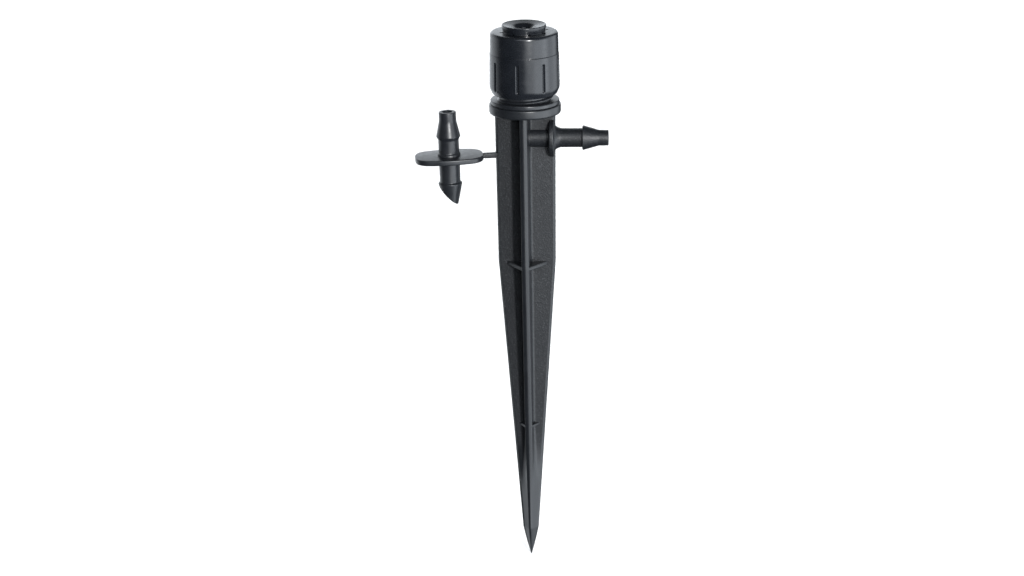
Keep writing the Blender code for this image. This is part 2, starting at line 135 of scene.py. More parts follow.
def loft(name, rings, cap_ends=True, close_rings=True, join_ends=False):
    """Skin a row of rings that all have the same number of points."""
    shape = bmesh.new()
    rows = [[shape.verts.new(point) for point in ring] for ring in rings]
    columns = len(rows[0])
    spans = columns if close_rings else columns - 1
    pairs = list(zip(rows, rows[1:]))
    if join_ends:
        pairs.append((rows[-1], rows[0]))
    for low, high in pairs:
        for i in range(spans):
            j = (i + 1) % columns
            shape.faces.new((low[i], low[j], high[j], high[i]))
    if cap_ends and not join_ends:
        shape.faces.new(reversed(rows[0]))
        shape.faces.new(rows[-1])
    return make_piece(name, shape)


def even_angles(count):
    """Evenly spaced angles round a full turn."""
    return [i * math.tau / count for i in range(count)]


def turned(name, outline, angles=None, loop=False, shape_radius=None):
    """Turn an outline of (radius, height) points about Z; an outline that is a loop makes a ring."""
    angles = angles or even_angles(ROUND)
    rings = []
    for radius, height in outline:
        ring = []
        for angle in angles:
            here = shape_radius(radius, height, angle) if shape_radius else radius
            ring.append((here * math.cos(angle), here * math.sin(angle), height))
        rings.append(ring)
    return loft(name, rings, cap_ends=False, join_ends=loop)


def rod(name, start, end, radius, sides):
    """A plain round bar that cuts a bore."""
    start, end = Vector(start), Vector(end)
    shape = bmesh.new()
    bmesh.ops.create_cone(shape, cap_ends=True, segments=sides, radius1=radius, radius2=radius,
                          depth=(end - start).length)
    turn = (end - start).to_track_quat("Z", "Y").to_matrix().to_4x4()
    bmesh.ops.transform(shape, matrix=Matrix.Translation((start + end) / 2) @ turn,
                        verts=shape.verts)
    return make_piece(name, shape)


def move(piece, matrix):
    """Move a piece's mesh, and leave its object at the origin."""
    piece.data.transform(matrix)
    return piece


def boolean(target, operation, *tools):
    """Join the tools to the target, or cut them from it, and keep the result as its mesh."""
    for tool in tools:
        step = target.modifiers.new(tool.name, "BOOLEAN")
        step.operation = operation
        step.solver = "EXACT"
        step.object = tool
    bpy.context.view_layer.update()
    depsgraph = bpy.context.evaluated_depsgraph_get()
    mesh = bpy.data.meshes.new_from_object(target.evaluated_get(depsgraph))
    target.modifiers.clear()
    target.data = mesh
    for tool in tools:
        bpy.data.objects.remove(tool, do_unlink=True)
    return target


def smooth(piece, sharp_degrees=SHARP_DEGREES):
    """Shade a piece smooth, except across its sharp edges."""
    piece.data.shade_smooth()
    piece.data.set_sharp_from_angle(angle=math.radians(sharp_degrees))
    return piece


def screw_ridge(name, radius, half_width, height, front_z, start_turn, turns, outward=1.0):
    """A rounded thread ridge that fades out at both ends and passes front_z at the front."""
    count = round(turns * RIDGE_STEPS)
    outline = [(-1.0, -0.35), (-0.82, 0.25), (-0.5, 0.78), (-0.18, 1.0), (0.18, 1.0),
               (0.5, 0.78), (0.82, 0.25), (1.0, -0.35)]
    rings = []
    for i in range(count + 1):
        done = i / RIDGE_STEPS
        turn = start_turn + done
        swell = min(1.0, done / RIDGE_FADE, (turns - done) / RIDGE_FADE)
        rise = height * mix(RIDGE_END, 1.0, math.sin(swell * math.pi / 2))
        angle = turn * math.tau
        centre = front_z + PITCH * (turn - FRONT_TURN)
        ring = []
        for along, out in outline:
            here = radius + outward * rise * (out if out > 0 else out * 1.2)
            ring.append((here * math.cos(angle), here * math.sin(angle),
                         centre + along * half_width))
        rings.append(ring)
    return loft(name, rings)


# ------------------------------------------------------------------- stake

STEM_TOP = FLANGE_TOP - 1.2 * MM
SHOULDER_Z = 74.0 * MM
ROOT_Z = 32.0 * MM
SOLID_Z = 15.0 * MM
POINT_Z = 7.0 * MM
WIDTH_TOP = 7.02 * MM
WIDTH_SHOULDER = 6.7 * MM
WIDTH_POINT = 1.85 * MM
DEPTH_TOP = 7.5 * MM
DEPTH_POINT = 2.05 * MM
BLADE_HALF = 0.75 * MM
BLADE_BEVEL = 0.5 * MM
RIB_HALF = 0.82 * MM
RIB_ROOF = 0.26 * MM
CORE_HALF = 1.3 * MM
TIP_HALF = 0.1 * MM
POINT_BULGE = 0.04
POINT_BLADE_HALF = WIDTH_POINT * 0.2
POINT_RIB_HALF = WIDTH_POINT * 0.22
FLANGE_BOTTOM = 109.65 * MM
HUB_RADIUS = 3.9 * MM
HUB_CORNER_Z = 109.3 * MM
HUB_BOTTOM = 108.3 * MM
# name, height, half thickness, reach along the blade, reach along the rib
GUSSETS = [
    ("upper_gusset", 73.5 * MM, 0.45 * MM, 4.9 * MM, 6.4 * MM),
    ("lower_gusset", 33.6 * MM, 0.3 * MM, 2.6 * MM, 3.6 * MM),
]
INLET_Z = 103.6 * MM
INLET_START = 0.3 * MM
TUBE_RADIUS = 2.2 * MM
TUBE_BORE = 1.1 * MM
BORE_END = 1.2 * MM
NOSE_RADIUS = 1.8 * MM
NOSE_START = 17.0 * MM
BARB_RADIUS = 2.85 * MM
BARB_BACK = 13.2 * MM
STOP_RADIUS = 4.4 * MM
STOP_NEAR = 5.6 * MM
STOP_FAR = 6.66 * MM
NECK_RADIUS = 3.15 * MM
NECK_END = 8.1 * MM


def stem_size(z):
    """Half width, half depth, blade and rib half thickness, and how solid the section is."""
    if z < POINT_Z:
        share = z / POINT_Z
        bulge = math.sin(share * math.pi) * POINT_BULGE
        width = mix(TIP_HALF, WIDTH_POINT, share + bulge)
        depth = mix(TIP_HALF, DEPTH_POINT, share + bulge)
        return width, depth, width * 0.2, width * 0.22, 1.0
    if z < SHOULDER_Z:
        share = (z - POINT_Z) / (SHOULDER_Z - POINT_Z)
        width = mix(WIDTH_POINT, WIDTH_SHOULDER, share)
        depth = mix(DEPTH_POINT, DEPTH_TOP, share)
    else:
        share = (z - SHOULDER_Z) / (STEM_TOP - SHOULDER_Z)
        width = mix(WIDTH_SHOULDER, WIDTH_TOP, share)
        depth = DEPTH_TOP
    solid = 1.0 - ease((z - SOLID_Z) / (ROOT_Z - SOLID_Z))
    thin = ease((z - POINT_Z) / (ROOT_Z - POINT_Z))
    blade = mix(POINT_BLADE_HALF, BLADE_HALF, thin)
    rib = mix(POINT_RIB_HALF, RIB_HALF, thin)
    return width, depth, blade, rib, solid


def stem_section(z):
    """The stem's section at a height: a cross with peaked edges that fills out to a bar."""
    width, depth, blade, rib, solid = stem_size(z)
    bevel = min(BLADE_BEVEL, width * 0.2)
    roof = min(RIB_ROOF, depth * 0.12)
    side = Vector((width - bevel, blade))
    front = Vector((rib, depth - roof))
    near_blade = Vector((min(CORE_HALF, width * 0.6), blade)).lerp(side.lerp(front, 1 / 3), solid)
    near_rib = Vector((rib * 1.08, min(CORE_HALF, depth * 0.6))).lerp(side.lerp(front, 2 / 3), solid)
    small = min(0.12 * MM, width * 0.08)
    large = min(0.3 * MM, width * 0.1)
    quarter = rounded([
        (width, 0.0, 0.0),
        (width, blade * 0.16, small * 0.5),
        (side.x, side.y, small),
        (near_blade.x, near_blade.y, large),
        (near_rib.x, near_rib.y, large),
        (front.x, front.y, small),
        (rib * 0.14, depth, small * 0.5),
        (0.0, depth, 0.0),
    ], steps=4)
    ring = [(p.x, p.y, z) for p in quarter]
    ring += [(-p.x, p.y, z) for p in reversed(quarter[:-1])]
    ring += [(-p.x, -p.y, z) for p in quarter[1:]]
    ring += [(p.x, -p.y, z) for p in reversed(quarter[1:-1])]
    return ring


def stem_heights():
    """Ring heights, closer together where the stem changes shape."""
    near_point, near_shoulder = 0.6 * MM, 1.0 * MM
    spans = [
        (0.0, POINT_Z - near_point, 8),
        (POINT_Z - near_point, POINT_Z + near_point, 6),
        (POINT_Z + near_point, ROOT_Z, 26),
        (ROOT_Z, SHOULDER_Z - near_shoulder, 30),
        (SHOULDER_Z - near_shoulder, SHOULDER_Z + near_shoulder, 6),
        (SHOULDER_Z + near_shoulder, STEM_TOP, 24),
    ]
    heights = [0.0]
    for low, high, count in spans:
        heights += [mix(low, high, (i + 1) / count) for i in range(count)]
    return heights


def make_gusset(name, z, half_height, out, front):
    """A thin level web on both sides of the blade, with softened edges."""
    flank, face = RIB_HALF * 0.6, BLADE_HALF * 0.6
    outline = [(out, face), (flank, front), (-flank, front), (-out, face),
               (-out, -face), (-flank, -front), (flank, -front), (out, -face)]
    soft = half_height * 0.35
    rings = []
    for height, depth in ((-half_height, soft), (-half_height + soft, 0.0),
                          (half_height - soft, 0.0), (half_height, soft)):
        shrink = 1.0 - depth / front
        rings.append([(x * shrink, y * shrink, z + height) for x, y in outline])
    return loft(name, rings)


def make_flange():
    """The round flange, with the hub that the emitter plugs into."""
    outline = rounded([
        (0.0, FLANGE_TOP, 0.0),
        (FLANGE_RADIUS, FLANGE_TOP, 0.35 * MM),
        (FLANGE_RADIUS, FLANGE_BOTTOM, 0.55 * MM),
        (HUB_RADIUS, FLANGE_BOTTOM, 0.3 * MM),
        (HUB_RADIUS, HUB_CORNER_Z, 0.2 * MM),
        (CORE_HALF, HUB_BOTTOM, 0.1 * MM),
        (0.0, HUB_BOTTOM, 0.0),
    ])
    return turned("flange", outline)


def make_inlet():
    """The inlet tube with its stop disc and barb, turned and laid along +X."""
    outline = rounded([
        (TUBE_BORE, INLET_END - 0.15 * MM, 0.0),
        (TUBE_BORE + 0.15 * MM, INLET_END, 0.05 * MM),
        (NOSE_RADIUS, INLET_END, 0.15 * MM),
        (NOSE_RADIUS + 0.02 * MM, NOSE_START, 0.35 * MM),
        (BARB_RADIUS, BARB_BACK + 0.22 * MM, 0.12 * MM),
        (BARB_RADIUS - 0.07 * MM, BARB_BACK + 0.02 * MM, 0.06 * MM),
        (TUBE_RADIUS, BARB_BACK, 0.08 * MM),
        (TUBE_RADIUS, NECK_END, 0.4 * MM),
        (NECK_RADIUS - 0.5 * MM, NECK_END - 1.0 * MM, 0.3 * MM),
        (NECK_RADIUS, STOP_FAR + 0.06 * MM, 0.2 * MM),
        (STOP_RADIUS, STOP_FAR, 0.2 * MM),
        (STOP_RADIUS, STOP_NEAR, 0.3 * MM),
        (TUBE_RADIUS, STOP_NEAR, 0.3 * MM),
        (TUBE_RADIUS, INLET_START, 0.0),
        (0.0, INLET_START, 0.0),
        (0.0, BORE_END, 0.0),
        (TUBE_BORE, BORE_END, 0.0),
    ], loop=True)
    inlet = turned("inlet", outline, even_angles(TUBE_ROUND), loop=True)
    lay_down = Matrix.Translation((0.0, 0.0, INLET_Z)) @ Matrix.Rotation(math.pi / 2, 4, "Y")
    return move(inlet, lay_down)


def make_stake():
    """The stake in one moulding: stem, gussets, flange and inlet barb."""
    stake = loft("stake", [stem_section(z) for z in stem_heights()])
    gussets = [make_gusset(*gusset) for gusset in GUSSETS]
    boolean(stake, "UNION", *gussets, make_flange(), make_inlet())
    smooth(stake)
    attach(stake, "stake")
    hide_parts("stake_body")
    return stake


# ------------------------------------------------------- emitter and seal

DISC_BOTTOM = FLANGE_TOP + 0.04 * MM
DISC_TOP = 112.85 * MM
SPIGOT_RADIUS = 6.0 * MM
SPIGOT_BORE = 1.0 * MM
SEAT_RADIUS = 1.9 * MM
SEAT_Z = 123.2 * MM
SEAL_NOSE = 5.1 * MM
SHOULDER_TOP = 119.6 * MM
FRONT_RIDGE = 113.2 * MM
RIDGE_HALF_WIDTH = 0.42 * MM
SPIGOT_RIDGE_HEIGHT = 0.58 * MM
SPIGOT_RIDGE_START = -0.54
SPIGOT_RIDGE_TURNS = 3.68
SEAL_SIDES = 28


def make_emitter_base():
    """The thin disc and the threaded spigot, bored through to the needle seat."""
    outline = rounded([
        (SPIGOT_BORE, SEAT_Z, 0.1 * MM),
        (SEAT_RADIUS, SPIGOT_TOP, 0.1 * MM),
        (SEAL_NOSE, SPIGOT_TOP, 0.4 * MM),
        (SEAL_NOSE, SHOULDER_TOP + 0.3 * MM, 0.2 * MM),
        (SPIGOT_RADIUS, SHOULDER_TOP, 0.2 * MM),
        (SPIGOT_RADIUS, DISC_TOP, 0.15 * MM),
        (DISC_RADIUS, DISC_TOP, 0.25 * MM),
        (DISC_RADIUS, DISC_BOTTOM, 0.2 * MM),
        (SPIGOT_BORE, DISC_BOTTOM, 0.0),
    ], loop=True)
    base = turned("emitter_base_moulding", outline, loop=True)
    ridge = screw_ridge("spigot_ridge", SPIGOT_RADIUS, RIDGE_HALF_WIDTH, SPIGOT_RIDGE_HEIGHT,
                        FRONT_RIDGE, SPIGOT_RIDGE_START, SPIGOT_RIDGE_TURNS)
    boolean(base, "UNION", ridge)
    smooth(base)
    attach(base, "stake")
    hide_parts("emitter_base")
    return base


def make_seal():
    """The seal ring in the cap."""
    outer = seal_high.x
    section = (seal_high.z - seal_low.z) / 2
    centre = outer - section
    middle = (seal_high.z + seal_low.z) / 2
    outline = [Vector((centre + section * math.cos(-angle), middle + section * math.sin(-angle)))
               for angle in even_angles(SEAL_SIDES)]
    seal = turned("seal_ring", outline, loop=True)
    smooth(seal, 60.0)
    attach(seal, "seal")
    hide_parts("cap_seal_ring")
    return seal


# --------------------------------------------------------------------- cap

CAP_SHOULDER = 128.72 * MM
CAP_TOP_RADIUS = 7.8 * MM
CAP_LINE = 123.84 * MM
CAP_CORNER = 115.75 * MM
CAP_BOTTOM_RADIUS = 7.4 * MM
CAP_BORE = 6.85 * MM
CAP_BORE_TOP = 120.3 * MM
CAP_RIDGE_HEIGHT = 0.56 * MM
CAP_RIDGE_START = 0.29
CAP_RIDGE_TURNS = 2.7
SEAL_LAND_RADIUS = 6.25 * MM
SEAL_GROOVE_RADIUS = 6.7 * MM
SEAL_GROOVE_BOTTOM = 121.1 * MM
SEAL_GROOVE_TOP = 122.9 * MM
CHAMBER_RADIUS = 5.4 * MM
CHAMBER_TOP = 126.2 * MM
NEEDLE_RADIUS = 1.5 * MM
NEEDLE_CORNER_Z = 124.85 * MM
NEEDLE_TIP_RADIUS = 0.6 * MM
NEEDLE_TIP_Z = 123.75 * MM
BOSS_RADIUS = 5.15 * MM
BOSS_UNDERCUT = 0.26 * MM
RIM_RADIUS = 4.82 * MM
RIM_DROP = 0.07 * MM
DISH_RADIUS = 2.6 * MM
DISH_Z = 129.88 * MM
RECESS_RADIUS = 1.7 * MM
RECESS_TOP = 129.2 * MM
RECESS_FLOOR = 127.6 * MM
GRIP_COUNT = 8
GRIP_HALF_WIDTH = 0.44 * MM
GRIP_DEPTH = 0.42 * MM
GRIP_TOP = 122.45 * MM
GRIP_FRONT = math.radians(-90.0 - 8.0)
OUTLET_COUNT = 8
OUTLET_FRONT = math.radians(-90.0 + 18.0)
OUTLET_RADIUS = 0.42 * MM
# radius and height of the line that each outlet is bored along
OUTLET_LINE = [(2.9 * MM, 126.1 * MM), (6.1 * MM, 129.7 * MM)]


def cap_angles():
    """Angles round the cap, closer together across each grip groove."""
    sector = math.tau / GRIP_COUNT
    near = 1.4 * GRIP_HALF_WIDTH / CAP_RADIUS
    fine, coarse = 20, 16
    angles = []
    for i in range(GRIP_COUNT):
        middle = GRIP_FRONT + i * sector
        angles += [middle + mix(-near, near, k / fine) for k in range(fine)]
        angles += [middle + mix(near, sector - near, k / coarse) for k in range(coarse)]
    return angles


def grip_groove(radius, height, angle):
    """The cap's radius at a point, sunk where a V-shaped grip groove runs."""
    sector = math.tau / GRIP_COUNT
    across = abs((angle - GRIP_FRONT + sector / 2) % sector - sector / 2) * CAP_RADIUS
    fade = 0.4 * MM
    end = ease((GRIP_TOP - height) / fade) * ease((height - CAP_CORNER + fade / 2) / fade)
    slope = min(1.0, max(0.0, 1.12 * (1.0 - across / GRIP_HALF_WIDTH)))
    soft = mix(slope, ease(slope), 0.35)
    is_outside = CAP_BOTTOM < height < GRIP_TOP and radius > CAP_BOTTOM_RADIUS + 0.1 * MM
    return radius - GRIP_DEPTH * soft * end if is_outside else radius


def cap_outline():
    """The cap in half section, from the middle of its boss round to the needle's tip."""
    side_top = CAP_TOP_RADIUS + 0.06 * MM
    side_step = side_top + 0.1 * MM
    outside = rounded([
        (0.0, RECESS_FLOOR, 0.0),
        (RECESS_RADIUS, RECESS_FLOOR, 0.25 * MM),
        (RECESS_RADIUS, RECESS_TOP, 0.3 * MM),
        (DISH_RADIUS, DISH_Z, 0.6 * MM),
        (RIM_RADIUS - 0.1 * MM, BOSS_TOP - RIM_DROP, 0.1 * MM),
        (RIM_RADIUS, BOSS_TOP, 0.05 * MM),
        (BOSS_RADIUS, BOSS_TOP, 0.26 * MM),
        (BOSS_RADIUS - BOSS_UNDERCUT, CAP_SHOULDER, 0.18 * MM),
        (CAP_TOP_RADIUS, CAP_SHOULDER, 0.75 * MM),
        (side_top, CAP_LINE + 0.03 * MM, 0.05 * MM),
        (side_step, CAP_LINE - 0.07 * MM, 0.05 * MM),
        (side_step + 0.02 * MM, GRIP_TOP + 0.1 * MM, 0.0),
    ], steps=6)
    side = []
    heights = [GRIP_TOP - 0.05 * MM * i for i in range(12)]
    heights += [mix(heights[-1], CAP_CORNER + 1.0 * MM, (i + 1) / 10) for i in range(10)]
    heights += [CAP_CORNER + (0.9 - 0.1 * i) * MM for i in range(5)]
    for height in heights:
        share = (GRIP_TOP - height) / (GRIP_TOP - CAP_CORNER)
        side.append(Vector((mix(side_step + 0.03 * MM, CAP_RADIUS, share), height)))
    inside = rounded([
        (side[-1].x, side[-1].y, 0.0),
        (CAP_RADIUS, CAP_CORNER, 0.45 * MM),
        (CAP_BOTTOM_RADIUS + 0.1 * MM, CAP_BOTTOM + 0.12 * MM, 0.15 * MM),
        (CAP_BOTTOM_RADIUS, CAP_BOTTOM, 0.08 * MM),
        (CAP_BORE, CAP_BOTTOM + 0.1 * MM, 0.06 * MM),
        (CAP_BORE, CAP_BORE_TOP, 0.1 * MM),
        (SEAL_LAND_RADIUS, CAP_BORE_TOP, 0.15 * MM),
        (SEAL_LAND_RADIUS, SEAL_GROOVE_BOTTOM, 0.15 * MM),
        (SEAL_GROOVE_RADIUS, SEAL_GROOVE_BOTTOM, 0.1 * MM),
        (SEAL_GROOVE_RADIUS, SEAL_GROOVE_TOP, 0.1 * MM),
        (CHAMBER_RADIUS, SEAL_GROOVE_TOP, 0.1 * MM),
        (CHAMBER_RADIUS, CHAMBER_TOP, 0.3 * MM),
        (NEEDLE_RADIUS, CHAMBER_TOP, 0.3 * MM),
        (NEEDLE_RADIUS, NEEDLE_CORNER_Z, 0.1 * MM),
        (NEEDLE_TIP_RADIUS, NEEDLE_TIP_Z, 0.1 * MM),
        (0.0, NEEDLE_TIP_Z, 0.0),
    ], steps=5)
    return outside[:-1] + side[:-1] + inside


def make_cap():
    """The cap: dished boss, grip grooves, eight outlets and the inner thread ridge."""
    cap = turned("cap", cap_outline(), cap_angles(), shape_radius=grip_groove)
    ridge = screw_ridge("cap_ridge", CAP_BORE, RIDGE_HALF_WIDTH, CAP_RIDGE_HEIGHT,
                        FRONT_RIDGE + PITCH / 2, CAP_RIDGE_START, CAP_RIDGE_TURNS, outward=-1.0)
    boolean(cap, "UNION", ridge)
    outlets = []
    for i in range(OUTLET_COUNT):
        angle = OUTLET_FRONT + i * math.tau / OUTLET_COUNT
        ends = [(radius * math.cos(angle), radius * math.sin(angle), z)
                for radius, z in OUTLET_LINE]
        outlets.append(rod(f"outlet_{i + 1}", *ends, OUTLET_RADIUS, BORE_ROUND))
    boolean(cap, "DIFFERENCE", *outlets)
    smooth(cap)
    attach(cap, "cap")
    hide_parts("flow_cap")
    return cap


# ---------------------------------------------------- web and spare connector

SPARE_AXIS = 10.86 * MM
PLATE_END = 7.9 * MM
PLATE_SIDE = 7.8 * MM
PLATE_HALF_MIDDLE = 5.6 * MM
PLATE_HALF_END = 4.3 * MM
PLATE_BOTTOM = 98.82 * MM
PLATE_TOP = 100.07 * MM
PLATE_SOFT = 0.28 * MM
SPARE_TOP = 110.38 * MM
SPARE_TIP = 88.42 * MM
SPARE_TUBE = 2.37 * MM
SPARE_BORE = 1.15 * MM
SPARE_NOSE = 2.0 * MM
SPARE_NOSE_Z = 108.2 * MM
SPARE_BARB = 2.8 * MM
SPARE_BARB_Z = 104.6 * MM
SPARE_BARB_FOOT = 103.8 * MM
COLLAR_RADIUS = 2.62 * MM
COLLAR_Z = 100.48 * MM
LIP_Z = 93.35 * MM
LIP_RADIUS = 2.75 * MM
POINT_RADIUS = 1.7 * MM
POINT_CUT_YAW = math.radians(22.0)
WEB_HALF_WIDTH = 0.6 * MM
WEB_HALF_HEIGHT = 0.6 * MM


def web_space():
    """The matrix from the web's own space, with +X towards the blade, to the row frame."""
    inward = -SPARE_AWAY
    yaw = math.atan2(inward.y, inward.x)
    sag = math.asin(inward.z)
    return (Matrix.Translation(WEB_HINGE) @ Matrix.Rotation(yaw, 4, "Z")
            @ Matrix.Rotation(-sag, 4, "Y"))


def inset(outline, depth):
    """A closed outline moved inwards by a depth."""
    moved = []
    count = len(outline)
    for i, here in enumerate(outline):
        along = (outline[(i + 1) % count] - outline[i - 1]).normalized()
        moved.append(here + Vector((along.y, -along.x)) * depth)
    return moved


def make_plate():
    """The grip plate: widest in the middle, round at the ends, with soft edges."""
    corners = []
    for way in (1, -1):
        corners += [
            (0.0, way * PLATE_HALF_MIDDLE, 2.6 * MM),
            (way * PLATE_SIDE, way * PLATE_HALF_END, 3.3 * MM),
            (way * PLATE_END, 0.0, 0.02 * MM),
            (way * PLATE_SIDE, -way * PLATE_HALF_END, 3.3 * MM),
        ]
    outline = rounded(corners, steps=12, loop=True)
    steps = 5
    bend = [i * math.pi / 2 / steps for i in range(steps + 1)]
    edge = [(PLATE_SOFT * (1 - math.sin(angle)), PLATE_SOFT * (1 - math.cos(angle)))
            for angle in bend]
    levels = [(PLATE_BOTTOM + rise, depth) for rise, depth in reversed(edge)]
    levels += [(PLATE_TOP - rise, depth) for rise, depth in edge]
    rings = [[(p.x, p.y, z) for p in inset(outline, depth)] for z, depth in levels]
    return loft("grip_plate", rings)


def make_spare():
    """The spare connector: barb above, grip plate, and an obliquely cut piercing point."""
    outline = rounded([
        (SPARE_BORE, SPARE_TOP - 0.15 * MM, 0.0),
        (SPARE_BORE + 0.15 * MM, SPARE_TOP, 0.05 * MM),
        (SPARE_NOSE - 0.02 * MM, SPARE_TOP, 0.18 * MM),
        (SPARE_NOSE, SPARE_NOSE_Z, 0.5 * MM),
        (SPARE_BARB, SPARE_BARB_Z, 0.14 * MM),
        (SPARE_TUBE + 0.05 * MM, SPARE_BARB_FOOT + 0.13 * MM, 0.12 * MM),
        (SPARE_TUBE, SPARE_BARB_FOOT, 0.1 * MM),
        (SPARE_TUBE + 0.01 * MM, COLLAR_Z + 0.27 * MM, 0.2 * MM),
        (COLLAR_RADIUS, COLLAR_Z, 0.1 * MM),
        (COLLAR_RADIUS + 0.08 * MM, PLATE_TOP - 0.3 * MM, 0.0),
        (SPARE_TUBE + 0.05 * MM, PLATE_BOTTOM + 0.3 * MM, 0.0),
        (SPARE_TUBE, LIP_Z + 0.4 * MM, 0.1 * MM),
        (LIP_RADIUS, LIP_Z + 0.12 * MM, 0.1 * MM),
        (LIP_RADIUS, LIP_Z - 0.1 * MM, 0.1 * MM),
        (POINT_RADIUS - 0.05 * MM, SPARE_TIP - 0.3 * MM, 0.0),
        (SPARE_BORE, SPARE_TIP - 0.3 * MM, 0.0),
    ], loop=True)
    spare = turned("spare_connector_moulding", outline, even_angles(TUBE_ROUND), loop=True)
    boolean(spare, "UNION", make_plate())
    bore = rod("bore", (0.0, 0.0, SPARE_TIP - 2 * MM), (0.0, 0.0, SPARE_TOP + MM), SPARE_BORE,
               TUBE_ROUND)
    slope = math.atan2(LIP_Z - SPARE_TIP, LIP_RADIUS + POINT_RADIUS)
    size = 20 * MM
    cutter = bmesh.new()
    bmesh.ops.create_cube(cutter, size=size)
    middle = Vector(((POINT_RADIUS - LIP_RADIUS) / 2, 0.0, (LIP_Z + SPARE_TIP) / 2))
    tilt = Matrix.Translation(middle) @ Matrix.Rotation(slope, 4, "Y")
    place = Matrix.Rotation(-POINT_CUT_YAW, 4, "Z") @ tilt @ Matrix.Translation((0, 0, -size / 2))
    bmesh.ops.transform(cutter, matrix=place, verts=cutter.verts)
    boolean(spare, "DIFFERENCE", bore, make_piece("point_cut", cutter))
    move(spare, web_space() @ Matrix.Translation((-SPARE_AXIS, 0.0, -WEB_HINGE.z)))
    smooth(spare)
    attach(spare, "connector")
    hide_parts("spare_connector")
    return spare


def make_web():
    """The short bridge from the blade to the plate, a little thinner where it snaps."""
    end = SPARE_AXIS - PLATE_END
    stations = [(0.35 * MM, 1.12), (0.05 * MM, 1.1), (-0.2 * MM, 1.02), (-0.5 * MM, 1.0),
                (-1.0 * MM, 1.0), (-1.5 * MM, 1.0), (-2.0 * MM, 1.0), (-2.4 * MM, 0.99),
                (-end + 0.25 * MM, 0.95), (-end, 0.92)]
    rings = []
    for x, share in stations:
        width, height = WEB_HALF_WIDTH * share, WEB_HALF_HEIGHT * share
        soft = height * 0.4
        corners = rounded([(width, height, soft), (-width, height, soft),
                           (-width, -height, soft), (width, -height, soft)], steps=4, loop=True)
        rings.append([(x, p.x, p.y) for p in corners])
    web = move(loft("snap_off_web", rings), web_space())
    smooth(web, 45.0)
    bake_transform(web)
    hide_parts("connector_web")
    return web


# --------------------------------------------------------------- materials

def nodes_of(name):
    """A new node material, its tree and its Principled shader."""
    material = bpy.data.materials.new(name)
    material.use_nodes = True
    tree = material.node_tree
    return material, tree, tree.nodes["Principled BSDF"]


def noise(tree, place, scale, detail=3.0, roughness=0.55):
    """A noise texture over the piece's own space, scale in bumps a metre."""
    node = tree.nodes.new("ShaderNodeTexNoise")
    node.inputs["Scale"].default_value = scale
    node.inputs["Detail"].default_value = detail
    node.inputs["Roughness"].default_value = roughness
    tree.links.new(place, node.inputs["Vector"])
    return node.outputs["Fac"]


def ramp(tree, factor, stops):
    """A colour ramp through (position, colour) stops."""
    node = tree.nodes.new("ShaderNodeValToRGB")
    first, second = node.color_ramp.elements
    for element, (position, colour) in zip((first, second), stops):
        element.position = position
        element.color = (*colour, 1.0)
    for position, colour in stops[2:]:
        element = node.color_ramp.elements.new(position)
        element.color = (*colour, 1.0)
    tree.links.new(factor, node.inputs["Fac"])
    return node.outputs["Color"]


def remap(tree, value, low, high, to_low, to_high):
    """Map a value from one range to another, held at the ends."""
    node = tree.nodes.new("ShaderNodeMapRange")
    for socket, number in zip(("From Min", "From Max", "To Min", "To Max"),
                              (low, high, to_low, to_high)):
        node.inputs[socket].default_value = number
    tree.links.new(value, node.inputs["Value"])
    return node.outputs["Result"]


def maths(tree, operation, *values):
    """A math node on two or three values; any may be a number."""
    node = tree.nodes.new("ShaderNodeMath")
    node.operation = operation
    for socket, value in zip(node.inputs, values):
        if isinstance(value, (int, float)):
            socket.default_value = value
        else:
            tree.links.new(value, socket)
    return node.outputs["Value"]


def bump(tree, height, strength, distance, under=None):
    """A bump node; under is the bump that it lies on."""
    node = tree.nodes.new("ShaderNodeBump")
    node.inputs["Distance"].default_value = distance
    if isinstance(strength, (int, float)):
        node.inputs["Strength"].default_value = strength
    else:
        tree.links.new(strength, node.inputs["Strength"])
    tree.links.new(height, node.inputs["Height"])
    if under is not None:
        tree.links.new(under, node.inputs["Normal"])
    return node.outputs["Normal"]


def object_space(tree):
    """The piece's own coordinates, in metres."""
    return tree.nodes.new("ShaderNodeTexCoord").outputs["Object"]


# Colours are linear; each list runs from the darkest to the lightest speckle
GRAINY_COLOURS = [(0.36, (0.006, 0.0072, 0.0092)), (0.6, (0.012, 0.0136, 0.0164)),
                  (0.74, (0.042, 0.045, 0.049))]
PLAIN_COLOURS = [(0.3, (0.010, 0.0115, 0.0142)), (0.7, (0.015, 0.017, 0.020))]
# name, darkest colour, lightest colour, roughness, strength of the fine skin
BASE_PLASTIC = ("base_plastic", (0.012, 0.0135, 0.0165), (0.018, 0.020, 0.0235), 0.30, 0.12)
CAP_PLASTIC = ("cap_plastic", (0.008, 0.0095, 0.0125), (0.012, 0.0138, 0.0175), 0.25, 0.05)
SPARE_PLASTIC = ("connector_plastic", (0.012, 0.0135, 0.0165), (0.019, 0.021, 0.0245), 0.34, 0.3)
SEAL_RUBBER = ("seal_rubber", (0.016, 0.016, 0.017), (0.022, 0.022, 0.023), 0.55, 0.2)


